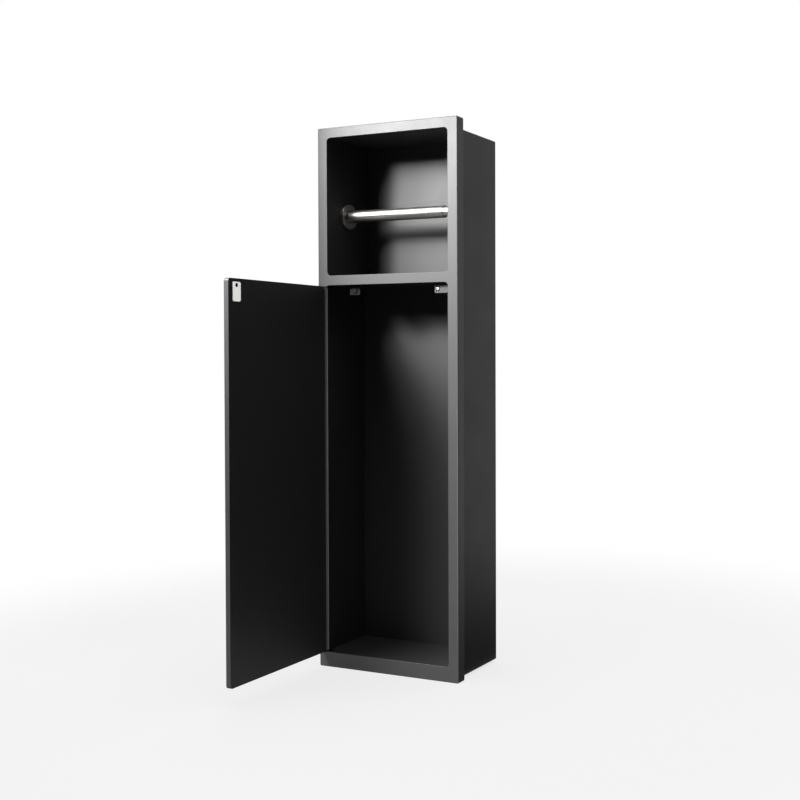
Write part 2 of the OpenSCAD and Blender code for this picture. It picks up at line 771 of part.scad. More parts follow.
// Rosette on the right wall; the left one is its mirror image
module rosette()
    difference() {
        on_bar() translate([open_x, 0, 0]) rotate([0, -90, 0]) rotate_extrude() difference() {
            union() {
                square([rosette_d / 2, rosette_t - rosette_edge]);
                square([rosette_d / 2 - rosette_edge, rosette_t]);
                translate([rosette_d / 2 - rosette_edge, rosette_t - rosette_edge])
                    circle(r = rosette_edge);
            }
            translate([-over, rosette_t - recess_depth]) square([recess_d / 2 + over, over * 3]);
            translate([-over, socket_floor]) square([bar_r + bar_clear + over, rosette_t]);
            translate([-rosette_d, -rosette_d]) square([rosette_d, 2 * rosette_d]);
        }
        rosette_screw_places() rod_x(open_x - rosette_t + 0.8, open_x + over, m4_r + fit);
    }

module rosette_right() color(finish_steel) rosette();

module rosette_left() color(finish_steel) mirror([1, 0, 0]) rosette();

module rosette_screws()
    rosette_screw_places() translate([liner_x, 0, 0]) rotate([0, 90, 0])
        pan_screw(m4_r, m4_head_r, m4_head_h, rosette_t + sheet_t - 1);

module rosette_screws_right() color(finish_steel) rosette_screws();

module rosette_screws_left() color(finish_steel) mirror([1, 0, 0]) rosette_screws();

module bar_tube() color(finish_steel)
    on_bar() difference() {
        rod_x(-bar_end_x + plug_rim, tube_x1, bar_r);
        rod_x(-bar_end_x, tube_x1 + over, tube_in_r);
    }

module bar_plug() color(finish_dark)
    on_bar() {
        rod_x(-bar_end_x, -bar_end_x + plug_rim, bar_r);
        rod_x(-bar_end_x, spring_seat_x, tube_in_r - fit);
    }

module bar_inner_tube() color(finish_steel)
    on_bar() difference() {
        rod_x(inner_x0, bar_end_x - plug_rim, inner_r);
        rod_x(inner_x0 + 2, bar_end_x, inner_r - tube_wall);
    }

module bar_cap() color(finish_steel)
    on_bar() difference() {
        rod_x(cap_x0, bar_end_x, bar_r);
        rod_x(cap_x0 - over, bar_end_x - plug_rim, inner_r + fit);
    }

module bar_spring() color(finish_steel)
    on_bar() translate([spring_seat_x + fit, 0, 0]) rotate([0, 90, 0])
        coil(inner_r - 1.6, 0.6, inner_x0 - spring_seat_x - 2 * fit, 12);

// ------------------------------------------------------------------ part

front_frame();
outer_shell();
back_panel();
niche_liner();
divider_pan();
floor_tray();
rear_rail_top();
rear_rail_bottom();
pivot_bush_top();
pivot_bush_bottom();
latch_bracket();
latch_housing();
latch_screws();
latch_spring();
latch_plunger();
stop_bracket();
stop_buffer();
stop_screw();
door_skin();
door_core();
door_rear_panel();
hinge_block_top();
hinge_block_bottom();
hinge_leaf_top();
hinge_leaf_bottom();
leaf_screws_top();
leaf_screws_bottom();
pivot_pin_top();
pivot_pin_bottom();
strike_plate();
strike_screw();
rosette_left();
rosette_right();
rosette_screws_left();
rosette_screws_right();
bar_tube();
bar_plug();
bar_spring();
bar_inner_tube();
bar_cap();
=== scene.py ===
import logging
import math
from collections.abc import Callable
from dataclasses import dataclass, field
from enum import Enum

import bmesh
import bpy
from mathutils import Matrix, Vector


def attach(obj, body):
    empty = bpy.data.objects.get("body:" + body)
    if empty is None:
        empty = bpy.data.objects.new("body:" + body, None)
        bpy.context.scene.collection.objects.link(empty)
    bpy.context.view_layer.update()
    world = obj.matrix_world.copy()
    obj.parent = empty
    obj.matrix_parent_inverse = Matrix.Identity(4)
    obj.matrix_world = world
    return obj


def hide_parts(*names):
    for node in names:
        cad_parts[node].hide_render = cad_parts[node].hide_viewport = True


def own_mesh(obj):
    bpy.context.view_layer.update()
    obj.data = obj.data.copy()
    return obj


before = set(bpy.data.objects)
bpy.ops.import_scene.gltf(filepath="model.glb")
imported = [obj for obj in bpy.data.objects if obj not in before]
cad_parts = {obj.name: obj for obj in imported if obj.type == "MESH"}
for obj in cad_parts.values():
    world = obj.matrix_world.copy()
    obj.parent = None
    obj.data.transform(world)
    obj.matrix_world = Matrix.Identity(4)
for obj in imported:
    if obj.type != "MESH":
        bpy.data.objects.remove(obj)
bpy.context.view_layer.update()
LOG = logging.getLogger("toilet_roll_cabinet")
MM = 0.001
NEAR = 0.05  # mm within which a point lies in a plane
MERGE_WITHIN = 1e-6  # m between doubles of a CAD mesh
FLAT_WITHIN = 0.6  # degrees between faces that are joined
CREASE = 32.0  # degrees past which an edge is shaded sharp
ROUND_SIDES = 32
SOCKET_SIDES = 6

Point = tuple[float, float, float]


# ------------------------------------------------------------------ names


class Body(Enum):
    """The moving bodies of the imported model."""

    CABINET = "cabinet"
    DOOR = "door"
    BAR = "bar"
    BAR_END = "bar_end"
    PLUNGER = "latch_plunger_body"


class Slot(Enum):
    """The record's material slots."""

    COAT = "black_powder_coat"
    STAINLESS = "brushed_stainless"
    ZINC = "zinc_steel"
    BLACK_ZINC = "black_zinc"
    NYLON = "black_nylon"
    RUBBER = "black_rubber"


class Brushing(Enum):
    """Direction in which a steel piece was brushed, as stretch along X, Y and Z."""

    ALONG_X = (1.0, 60.0, 60.0)
    ALONG_Z = (60.0, 60.0, 1.0)


# --------------------------------------------------------------- helpers


def linear(hex_colour: str) -> tuple[float, float, float, float]:
    """Turns an sRGB hex colour into linear red, green, blue and alpha.

    Args:
        hex_colour: The colour as written, such as "#1b1b1d".

    Returns:
        The linear colour with an alpha of 1.
    """
    parts = (int(hex_colour[i : i + 2], 16) / 255 for i in (1, 3, 5))
    red, green, blue = (
        p / 12.92 if p <= 0.04045 else ((p + 0.055) / 1.055) ** 2.4 for p in parts
    )
    return red, green, blue, 1.0


def add_node(
    tree: bpy.types.NodeTree,
    kind: str,
    inputs: dict[str | int, object] | None = None,
    **settings: object,
) -> bpy.types.Node:
    """Adds a node, with its settings, its constants and the links into it.

    Args:
        tree: The tree that gets the node.
        kind: The node's type name.
        inputs: Input name or number to a constant, or to the socket that feeds it.
        **settings: Properties of the node itself.

    Returns:
        The new node.
    """
    made = tree.nodes.new(kind)
    for name, value in settings.items():
        setattr(made, name, value)
    for name, value in (inputs or {}).items():
        if isinstance(value, bpy.types.NodeSocket):
            tree.links.new(value, made.inputs[name])
        else:
            made.inputs[name].default_value = value
    return made


def per_mm(size: float) -> float:
    """Noise scale, in features to the metre, for a feature of this size in mm."""
    return 1.0 / (size * MM)


# -------------------------------------------------------------- finishes


@dataclass(frozen=True)
class PowderCoat:
    """Satin black polyester powder coat, sprayed and baked on folded steel.

    The eye sees a deep black with a soft, wide sheen, and a fine even grain.
    """

    name: str = "satin_black_powder_coat"
    colour: str = "#1b1b1d"
    colour_high: str = "#202022"
    roughness: float = 0.54
    roughness_swing: float = 0.04
    specular: float = 0.8
    # The real grain is about 0.4 mm; it is drawn coarser so that it shows
    grain: float = 1.6
    grain_ramp: tuple[float, float] = (0.35, 0.75)
    cloud: float = 45.0
    cloud_range: tuple[float, float] = (0.6, 1.4)
    bump_height: float = 0.03

    def material(self) -> bpy.types.Material:
        """Builds the coat's shader nodes.

        Returns:
            The material.
        """
        made, tree, shader, point = new_material(self.name)
        grain = add_node(
            tree,
            "ShaderNodeTexNoise",
            {"Vector": point, "Scale": per_mm(self.grain), "Detail": 3.0, "Roughness": 0.6},
        )
        cloud = add_node(
            tree,
            "ShaderNodeTexNoise",
            {"Vector": point, "Scale": per_mm(self.cloud), "Detail": 2.0},
        )
        tint = add_node(tree, "ShaderNodeValToRGB", {"Fac": grain.outputs["Fac"]})
        ends = zip(self.grain_ramp, (self.colour, self.colour_high))
        for stop, (position, colour) in zip(tint.color_ramp.elements, ends):
            stop.position = position
            stop.color = linear(colour)
        both = add_node(
            tree,
            "ShaderNodeMath",
            {0: grain.outputs["Fac"], 1: cloud.outputs["Fac"]},
            operation="ADD",
        )
        rough = add_node(
            tree,
            "ShaderNodeMapRange",
            {
                "Value": both.outputs[0],
                "From Min": self.cloud_range[0],
                "From Max": self.cloud_range[1],
                "To Min": self.roughness - self.roughness_swing,
                "To Max": self.roughness + self.roughness_swing,
            },
        )
        bump = add_node(
            tree,
            "ShaderNodeBump",
            {
                "Height": grain.outputs["Fac"],
                "Distance": self.bump_height * MM,
                "Strength": 1.0,
            },
        )
        tree.links.new(tint.outputs["Color"], shader.inputs["Base Color"])
        tree.links.new(rough.outputs["Result"], shader.inputs["Roughness"])
        tree.links.new(bump.outputs["Normal"], shader.inputs["Normal"])
        shader.inputs["Specular IOR Level"].default_value = self.specular
        return made


@dataclass(frozen=True)
class BrushedStainless:
    """Stainless steel with a satin brushed face.

    The eye sees a pale warm grey metal whose highlights spread across the strokes.
    """

    name: str
    brushing: Brushing
    colour: str = "#cfccc6"
    roughness: float = 0.34
    roughness_swing: float = 0.07
    # Strokes are some tens of mm long and about 0.25 mm apart, drawn at 0.5 mm
    stroke: float = 30.0
    stroke_range: tuple[float, float] = (0.3, 0.7)
    bump_height: float = 0.004

    def material(self) -> bpy.types.Material:
        """Builds the brushed steel's shader nodes.

        Returns:
            The material.
        """
        made, tree, shader, point = new_material(self.name)
        stretched = add_node(
            tree,
            "ShaderNodeMapping",
            {"Vector": point, "Scale": Vector(self.brushing.value) * per_mm(self.stroke)},
        )
        stroke = add_node(
            tree,
            "ShaderNodeTexNoise",
            {"Vector": stretched.outputs["Vector"], "Scale": 1.0, "Detail": 4.0},
        )
        rough = add_node(
            tree,
            "ShaderNodeMapRange",
            {
                "Value": stroke.outputs["Fac"],
                "From Min": self.stroke_range[0],
                "From Max": self.stroke_range[1],
                "To Min": self.roughness - self.roughness_swing,
                "To Max": self.roughness + self.roughness_swing,
            },
        )
        bump = add_node(
            tree,
            "ShaderNodeBump",
            {"Height": stroke.outputs["Fac"], "Distance": self.bump_height * MM},
        )
        tree.links.new(rough.outputs["Result"], shader.inputs["Roughness"])
        tree.links.new(bump.outputs["Normal"], shader.inputs["Normal"])
        shader.inputs["Base Color"].default_value = linear(self.colour)
        shader.inputs["Metallic"].default_value = 1.0
        return made


@dataclass(frozen=True)
class ZincPlate:
    """Zinc plate on small steel fittings, bright or passivated black.

    The eye sees a cool grey or near black metal, faintly cloudy from the bath.
    """

    name: str
    colour: str = "#b7bbbf"
    colour_high: str = "#c6c8c8"
    roughness: float = 0.33
    patch: float = 6.0

    def material(self) -> bpy.types.Material:
        """Builds the zinc's shader nodes.

        Returns:
            The material.
        """
        made, tree, shader, point = new_material(self.name)
        patch = add_node(
            tree,
            "ShaderNodeTexNoise",
            {"Vector": point, "Scale": per_mm(self.patch), "Detail": 3.0},
        )
        tint = add_node(tree, "ShaderNodeValToRGB", {"Fac": patch.outputs["Fac"]})
        tint.color_ramp.elements[0].color = linear(self.colour)
        tint.color_ramp.elements[1].color = linear(self.colour_high)
        tree.links.new(tint.outputs["Color"], shader.inputs["Base Color"])
        shader.inputs["Metallic"].default_value = 1.0
        shader.inputs["Roughness"].default_value = self.roughness
        return made


@dataclass(frozen=True)
class DarkMoulding:
    """Moulded black polymer: glass-filled nylon, or soft rubber.

    The eye sees a dull black with the fine erosion of the mould's face.
    """

    name: str
    colour: str
    roughness: float
    specular: float = 0.5
    erosion: float = 0.8
    bump_height: float = 0.02

    def material(self) -> bpy.types.Material:
        """Builds the moulding's shader nodes.

        Returns:
            The material.
        """
        made, tree, shader, point = new_material(self.name)
        erosion = add_node(
            tree,
            "ShaderNodeTexNoise",
            {"Vector": point, "Scale": per_mm(self.erosion), "Detail": 2.0},
        )
        bump = add_node(
            tree,
            "ShaderNodeBump",
            {"Height": erosion.outputs["Fac"], "Distance": self.bump_height * MM},
        )
        tree.links.new(bump.outputs["Normal"], shader.inputs["Normal"])
        shader.inputs["Base Color"].default_value = linear(self.colour)
        shader.inputs["Roughness"].default_value = self.roughness
        shader.inputs["Specular IOR Level"].default_value = self.specular
        return made


@dataclass(frozen=True)
class Fibreboard:
    """Pressed wood fibre board, cut and left bare inside the door.

    The eye sees a dull tan with short felted fibres.
    """

    name: str = "bare_fibreboard"
    colour: str = "#a67c4e"
    colour_high: str = "#c09a6b"
    roughness: float = 0.85
    fibre: float = 1.5

    def material(self) -> bpy.types.Material:
        """Builds the board's shader nodes.

        Returns:
            The material.
        """
        made, tree, shader, point = new_material(self.name)
        fibre = add_node(
            tree,
            "ShaderNodeTexNoise",
            {"Vector": point, "Scale": per_mm(self.fibre), "Detail": 5.0},
        )
        tint = add_node(tree, "ShaderNodeValToRGB", {"Fac": fibre.outputs["Fac"]})
        tint.color_ramp.elements[0].color = linear(self.colour)
        tint.color_ramp.elements[1].color = linear(self.colour_high)
        tree.links.new(tint.outputs["Color"], shader.inputs["Base Color"])
        shader.inputs["Roughness"].default_value = self.roughness
        return made


def new_material(
    name: str,
) -> tuple[bpy.types.Material, bpy.types.NodeTree, bpy.types.Node, bpy.types.NodeSocket]:
    """Starts a material whose patterns read Object coordinates.

    Args:
        name: The material's name.

    Returns:
        The material, its tree, its shader and the Object coordinate socket.
    """
    made = bpy.data.materials.new(name)
    made.use_nodes = True
    tree = made.node_tree
    place = add_node(tree, "ShaderNodeTexCoord")
    return made, tree, tree.nodes["Principled BSDF"], place.outputs["Object"]


@dataclass
class Finishes:
    """Every material of the cabinet, built once."""

    coat: bpy.types.Material = field(default_factory=lambda: PowderCoat().material())
    steel_bar: bpy.types.Material = field(
        default_factory=lambda: BrushedStainless(
            "brushed_stainless_bar", Brushing.ALONG_X
        ).material()
    )
    steel_plate: bpy.types.Material = field(
        default_factory=lambda: BrushedStainless(
            "brushed_stainless_plate", Brushing.ALONG_Z, roughness=0.5, colour="#e4e2de"
        ).material()
    )
    zinc: bpy.types.Material = field(
        default_factory=lambda: ZincPlate("bright_zinc_plate").material()
    )
    black_zinc: bpy.types.Material = field(
        default_factory=lambda: ZincPlate(
            "black_zinc_plate", colour="#1d1d1f", colour_high="#29292b", roughness=0.42
        ).material()
    )
    nylon: bpy.types.Material = field(
        default_factory=lambda: DarkMoulding("moulded_black_nylon", "#161617", 0.45).material()
    )
    rubber: bpy.types.Material = field(
        default_factory=lambda: DarkMoulding(
            "moulded_black_rubber", "#0f0f0f", 0.9, specular=0.3
        ).material()
    )
    board: bpy.types.Material = field(default_factory=lambda: Fibreboard().material())


# ---------------------------------------------------------------- shaping


@dataclass(frozen=True)
class Rounding:
    """A radius in mm for the sharp edges whose two ends pass a test."""

    radius: float
    picks: Callable[[Vector, Vector], bool]
    segments: int = 3


def always(_a: Vector, _b: Vector) -> bool:
    """Picks every edge."""
    return True


def merged_copy(node: str) -> bmesh.types.BMesh:
    """Copies a CAD node's mesh, with its doubles merged and its flat faces joined.

    Args:
        node: The CAD node's name.

    Returns:
        A new mesh for editing.
    """
    made = bmesh.new()
    made.from_mesh(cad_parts[node].data)
    bmesh.ops.remove_doubles(made, verts=made.verts, dist=MERGE_WITHIN)
    bmesh.ops.dissolve_limit(
        made, angle_limit=math.radians(FLAT_WITHIN), verts=made.verts, edges=made.edges
    )
    return made


def round_edges(mesh: bmesh.types.BMesh, rule: Rounding, sharper_than: float = 35.0) -> None:
    """Rounds the outward sharp edges that a rule picks.

    Args:
        mesh: The mesh to change.
        rule: The radius and the test.
        sharper_than: Least angle in degrees between an edge's faces.
    """
    least = math.radians(sharper_than)
    edges = [
        e
        for e in mesh.edges
        if len(e.link_faces) == 2
        and e.calc_face_angle_signed(0.0) > least
        and rule.picks(e.verts[0].co, e.verts[1].co)
    ]
    if edges:
        bmesh.ops.bevel(
            mesh,
            geom=edges,
            offset=rule.radius * MM,
            offset_type="OFFSET",
            segments=rule.segments,
            profile=0.5,
            affect="EDGES",
            clamp_overlap=True,
            miter_outer="SHARP",
        )


def dress(obj: bpy.types.Object, body: Body, slot: Slot, *nodes: str) -> bpy.types.Object:
    """Lets a finished piece ride on its body and stand for its CAD nodes.

    Args:
        obj: The finished piece.
        body: The body it rides on.
        slot: The record slot of its finish; not used.
        *nodes: The CAD nodes that it replaces.

    Returns:
        The piece.
    """
    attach(obj, body.value)
    if nodes:
        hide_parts(*nodes)
    LOG.info("%s: rides on %s, stands for %s", obj.name, body.value, ", ".join(nodes) or "none")
    return obj


def link_mesh(
    name: str, mesh: bpy.types.Mesh, material: bpy.types.Material
) -> bpy.types.Object:
    """Puts a mesh in the scene as a smooth shaded object of one material.

    Args:
        name: The object's name.
        mesh: Its mesh, with its place in it.
        material: Its finish.

    Returns:
        The object.
    """
    mesh.materials.clear()
    mesh.materials.append(material)
    obj = bpy.data.objects.new(name, mesh)
    bpy.context.scene.collection.objects.link(obj)
    for face in mesh.polygons:
        face.use_smooth = True
    weighted = obj.modifiers.new("weighted_normals", "WEIGHTED_NORMAL")
    weighted.keep_sharp = True
    return obj


def softened(
    node: str,
    body: Body,
    slot: Slot,
    material: bpy.types.Material,
    roundings: list[Rounding],
) -> bpy.types.Object:
    """Makes the piece that shows in place of a CAD node, with its edges rounded.

    Args:
        node: The CAD node's name; the piece is named after it.
        body: The body it rides on.
        slot: The record slot of its finish.
        material: Its finish.
        roundings: The radii, in the order in which they are applied.

    Returns:
        The finished piece.
    """
    mesh = merged_copy(node)
    for rule in roundings:
        round_edges(mesh, rule)
    crease = math.radians(CREASE)
    for edge in mesh.edges:
        edge.smooth = len(edge.link_faces) != 2 or edge.calc_face_angle(0.0) <= crease
    data = bpy.data.meshes.new(node + "_made")
    mesh.to_mesh(data)
    mesh.free()
    return dress(link_mesh(node + "_made", data, material), body, slot, node)


def shorten(
    spring: bpy.types.Object
) -> None:
    """Gives a coil spring's piece its own copy of its mesh.

    Args:
        spring: The spring's finished piece.
    """
    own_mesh(spring)


# ----------------------------------------------------------------- screws


@dataclass(frozen=True)
class ScrewPattern:
    """Sizes in mm of one kind of hexagon socket screw; shank and head are radii.

    A seat is the point where the head's flat meets its piece, and the way the
    head faces. On a countersunk screw the seat is the middle of its flat face.
    """

    shank: float
    head: float
    head_height: float
    length: float
    countersunk: bool = False
    socket_depth: float = 0.6
    socket_share: float = 0.8
    dome_share: float = 0.72
    # The cone's narrow end lies just inside the shank, so that the two join cleanly
    neck_share: float = 0.94
    easing: float = 0.12
    easing_over: float = 40.0
    merge_within: float = 1e-7

    def build(
        self,
        name: str,
        seats: list[tuple[Vector, Vector]],
        material: bpy.types.Material,
    ) -> bpy.types.Object:
        """Makes the screws with Geometry Nodes and turns them into one mesh.

        Args:
            name: The piece's name.
            seats: Place in mm and outward direction of each screw.
            material: The screws' finish.

        Returns:
            The object, with its Geometry Nodes baked into its mesh.
        """
        points = bpy.data.meshes.new(name)
        points.from_pydata([place * MM for place, _ in seats], [], [])
        axis = points.attributes.new("facing", "FLOAT_VECTOR", "POINT")
        for item, (_, way) in zip(axis.data, seats):
            item.vector = way
        carrier = bpy.data.objects.new(name, points)
        bpy.context.scene.collection.objects.link(carrier)
        modifier = carrier.modifiers.new("screws", "NODES")
        modifier.node_group = screw_tree()
        lower, upper = self.head * MM, self.head * self.dome_share * MM
        if self.countersunk:
            lower, upper = self.shank * self.neck_share * MM, self.head * MM
        self._set(
            modifier,
            {
                "Lower Radius": lower,
                "Upper Radius": upper,
                "Head Height": self.head_height * MM,
                "Head Base": -self.head_height * MM if self.countersunk else 0.0,
                "Shank Radius": self.shank * MM,
                "Length": self.length * MM,
                "Socket Radius": self.shank * self.socket_share * MM,
                "Socket Depth": self.socket_depth * MM,
                "Finish": material,
            },
        )
        evaluated = carrier.evaluated_get(bpy.context.evaluated_depsgraph_get())
        plain = bpy.data.meshes.new_from_object(evaluated)
        bpy.data.objects.remove(carrier)
        eased = bmesh.new()
        eased.from_mesh(plain)
        bmesh.ops.remove_doubles(eased, verts=eased.verts, dist=self.merge_within)
        round_edges(eased, Rounding(self.easing, always, 2), self.easing_over)
        eased.to_mesh(plain)
        eased.free()
        return link_mesh(name, plain, material)

    @staticmethod
    def _set(modifier: bpy.types.NodesModifier, values: dict[str, object]) -> None:
        """Sets a tree's inputs, found by name, through their identifiers.

        Args:
            modifier: The modifier that runs the tree.
            values: Input name to value.
        """
        for item in modifier.node_group.interface.items_tree:
            if item.item_type == "SOCKET" and item.name in values:
                modifier[item.identifier] = values[item.name]


def screw_tree() -> bpy.types.NodeTree:
    """Builds, once, the tree that sets a socket screw on every point.

    Returns:
        The tree.
    """
    found = bpy.data.node_groups.get("socket_screws")
    if found:
        return found
    tree = bpy.data.node_groups.new("socket_screws", "GeometryNodeTree")
    face = tree.interface
    face.new_socket("Geometry", in_out="INPUT", socket_type="NodeSocketGeometry")
    sizes = (
        "Lower Radius",
        "Upper Radius",
        "Head Height",
        "Head Base",
        "Shank Radius",
        "Length",
        "Socket Radius",
        "Socket Depth",
    )
    for name in sizes:
        face.new_socket(name, in_out="INPUT", socket_type="NodeSocketFloat")
    face.new_socket("Finish", in_out="INPUT", socket_type="NodeSocketMaterial")
    face.new_socket("Geometry", in_out="OUTPUT", socket_type="NodeSocketGeometry")
    given = add_node(tree, "NodeGroupInput").outputs

    def total(a: object, b: object, how: str = "ADD") -> bpy.types.NodeSocket:
        """Adds, takes away or multiplies two numbers, each a constant or a socket."""
        return add_node(tree, "ShaderNodeMath", {0: a, 1: b}, operation=how).outputs[0]

    def lift(geometry: bpy.types.NodeSocket, height: bpy.types.NodeSocket) -> bpy.types.NodeSocket:
        """Moves geometry up its own axis.

        Args:
            geometry: What is moved.
            height: How far, in metres.

        Returns:
            The moved geometry.
        """
        up = add_node(tree, "ShaderNodeCombineXYZ", {"Z": height}).outputs[0]
        moved = add_node(
            tree, "GeometryNodeTransform", {"Geometry": geometry, "Translation": up}
        )
        return moved.outputs["Geometry"]

    head = add_node(
        tree,
        "GeometryNodeMeshCone",
        {
            "Vertices": ROUND_SIDES,
            "Radius Bottom": given["Lower Radius"],
            "Radius Top": given["Upper Radius"],
            "Depth": given["Head Height"],
        },
    )
    head_at = lift(head.outputs["Mesh"], given["Head Base"])
    into_head = total(given["Head Height"], 0.5, "MULTIPLY")
    top = total(given["Head Base"], given["Head Height"])
    shank_length = total(given["Length"], total(given["Head Base"], into_head))
    shank = add_node(
        tree,
        "GeometryNodeMeshCylinder",
        {"Vertices": ROUND_SIDES, "Radius": given["Shank Radius"], "Depth": shank_length},
    )
    middle = total(total(shank_length, 0.5, "MULTIPLY"), given["Length"], "SUBTRACT")
    shank_at = lift(shank.outputs["Mesh"], middle)
    socket = add_node(
        tree,
        "GeometryNodeMeshCylinder",
        {
            "Vertices": SOCKET_SIDES,
            "Radius": given["Socket Radius"],
            "Depth": total(given["Socket Depth"], 2.0, "MULTIPLY"),
        },
    )
    socket_at = lift(socket.outputs["Mesh"], top)
    whole = add_node(tree, "GeometryNodeMeshBoolean", operation="UNION", solver="EXACT")
    tree.links.new(head_at, whole.inputs["Mesh 2"])
    tree.links.new(shank_at, whole.inputs["Mesh 2"])
    cut = add_node(tree, "GeometryNodeMeshBoolean", operation="DIFFERENCE", solver="EXACT")
    tree.links.new(whole.outputs["Mesh"], cut.inputs["Mesh 1"])
    tree.links.new(socket_at, cut.inputs["Mesh 2"])
    facing = add_node(
        tree, "GeometryNodeInputNamedAttribute", {"Name": "facing"}, data_type="FLOAT_VECTOR"
    )
    turn = add_node(
        tree,
        "FunctionNodeAlignRotationToVector",
        {"Vector": facing.outputs["Attribute"]},
        axis="Z",
    )
    spread = add_node(
        tree,
        "GeometryNodeInstanceOnPoints",
        {
            "Points": given["Geometry"],
            "Instance": cut.outputs["Mesh"],
            "Rotation": turn.outputs["Rotation"],
        },
    )
    real = add_node(
        tree, "GeometryNodeRealizeInstances", {"Geometry": spread.outputs["Instances"]}
    )
    finished = add_node(
        tree,
        "GeometryNodeSetMaterial",
        {"Geometry": real.outputs["Geometry"], "Material": given["Finish"]},
    )
    add_node(tree, "NodeGroupOutput", {"Geometry": finished.outputs["Geometry"]})
    return tree


# ---------------------------------------------------------- sub-assemblies


@dataclass
class FrontFrame:
    """The folded frame that shows in front of the wall. Sizes in mm."""

    finishes: Finishes
    face_y: float = -17.0
    half_width: float = 119.0
    height: float = 800.0
    bend: float = 1.4
    opening_edge: float = 1.4
    sheet_edge: float = 0.3
    rim: float = 2.5

    def _on_face(self, a: Vector, b: Vector) -> bool:
        """Says whether an edge lies in the frame's face."""
        return max(abs(a.y / MM - self.face_y), abs(b.y / MM - self.face_y)) < NEAR

    def _outer(self, p: Vector) -> bool:
        """Says whether a point lies on the rim along the frame's outline."""
        x, z = abs(p.x / MM), p.z / MM
        return x > self.half_width - self.rim or z < self.rim or z > self.height - self.rim

    def build(self) -> None:
        """Makes the frame, with its bent outer edges and eased opening edges."""
        softened(
            "front_frame",
            Body.CABINET,
            Slot.COAT,
            self.finishes.coat,
            [
                Rounding(
                    self.bend,
                    lambda a, b: self._on_face(a, b) and self._outer(a) and self._outer(b),
                    5,
                ),
                Rounding(
                    self.opening_edge,
                    lambda a, b: self._on_face(a, b) and not self._outer(a),
                    4,
                ),
                Rounding(self.sheet_edge, lambda a, b: not self._on_face(a, b), 2),
            ],
        )


@dataclass
class WallBox:
    """The sheet box in the wall, its liner, its pans and its rear rails."""

    finishes: Finishes
    sheet_edge: float = 0.3
    rail_bend: float = 0.9
    long_run: float = 100.0

    def build(self) -> None:
        """Makes every folded sheet of the box."""
        thin = [Rounding(self.sheet_edge, always, 2)]
        for node in ("outer_shell", "back_panel", "niche_liner", "divider_pan", "floor_tray"):
            softened(node, Body.CABINET, Slot.COAT, self.finishes.coat, thin)
        for node in ("rear_rail_top", "rear_rail_bottom"):
            softened(
                node,
                Body.CABINET,
                Slot.COAT,
                self.finishes.coat,
                [
                    Rounding(
                        self.rail_bend,
                        lambda a, b: abs(a.x - b.x) > self.long_run * MM,
                        4,
                    ),
                    Rounding(self.sheet_edge, always, 2),
                ],
            )


@dataclass
class DoorLeaf:
    """The inset door: folded skin, board core, rear panel and strike plate."""

    finishes: Finishes
    bend: float = 1.9
    rear_edge: float = 0.55
    fine_edge: float = 0.25
    plate_edge: float = 0.45
    front_x: float = -113.1
    rear_x: float = -105.1
    strike_seat: Point = (-103.9, -208.6, 556.8)

    def _at_x(self, a: Vector, b: Vector, x: float) -> bool:
        """Says whether an edge lies in the plane X = x, in mm."""
        return max(abs(a.x / MM - x), abs(b.x / MM - x)) < NEAR

    def build(self) -> None:
        """Makes the door's pieces as it stands open."""
        softened(
            "door_skin",
            Body.DOOR,
            Slot.COAT,
            self.finishes.coat,
            [
                Rounding(self.bend, lambda a, b: self._at_x(a, b, self.front_x), 5),
                Rounding(self.fine_edge, always, 2),
            ],
        )
        softened(
            "door_rear_panel",
            Body.DOOR,
            Slot.COAT,
            self.finishes.coat,
            [
                Rounding(self.rear_edge, lambda a, b: self._at_x(a, b, self.rear_x), 4),
                Rounding(self.fine_edge, always, 2),
            ],
        )
        softened(
            "strike_plate",
            Body.DOOR,
            Slot.STAINLESS,
            self.finishes.steel_plate,
            [Rounding(self.plate_edge, always, 3)],
        )
        pattern = ScrewPattern(
            shank=1.5,
            head=2.55,
            head_height=0.9,
            length=6.0,
            countersunk=True,
            socket_depth=0.5,
        )
        screw = pattern.build(
            "strike_screw_made",
            [(Vector(self.strike_seat), Vector((1, 0, 0)))],
            self.finishes.black_zinc,
        )
        dress(screw, Body.DOOR, Slot.BLACK_ZINC, "strike_screw")
        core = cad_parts["door_core"]
        core.data.materials.clear()
        core.data.materials.append(self.finishes.board)


@dataclass
class PivotHinges:
    """The two pivot hinges: leaves, backing blocks, pins and bushes."""

    finishes: Finishes
    fine_edge: float = 0.25
    leaf_screw_y: tuple[float, float] = (-30.9, -43.9)
    pivot_x: float = -109.0
    leaf_face_z: tuple[float, float] = (23.5, 566.0)

    def build(self) -> None:
        """Makes the hinge pieces at the door's top and bottom edges."""
        fine = [Rounding(self.fine_edge, always, 2)]
        for end in ("top", "bottom"):
            softened(
                f"hinge_leaf_{end}", Body.DOOR, Slot.BLACK_ZINC, self.finishes.black_zinc, fine
            )
            for kind in ("hinge_block", "pivot_pin"):
                softened(f"{kind}_{end}", Body.DOOR, Slot.ZINC, self.finishes.zinc, fine)
            softened(f"pivot_bush_{end}", Body.CABINET, Slot.ZINC, self.finishes.zinc, fine)
        pattern = ScrewPattern(
            shank=1.25,
            head=2.1,
            head_height=1.1,
            length=8.0,
            countersunk=True,
            socket_depth=0.7,
        )
        for end, z, way in zip(("bottom", "top"), self.leaf_face_z, (-1, 1)):
            seats = [
                (Vector((self.pivot_x, y, z)), Vector((0, 0, way))) for y in self.leaf_screw_y
            ]
            made = pattern.build(f"leaf_screws_{end}_made", seats, self.finishes.black_zinc)
            dress(made, Body.DOOR, Slot.BLACK_ZINC, f"leaf_screws_{end}")


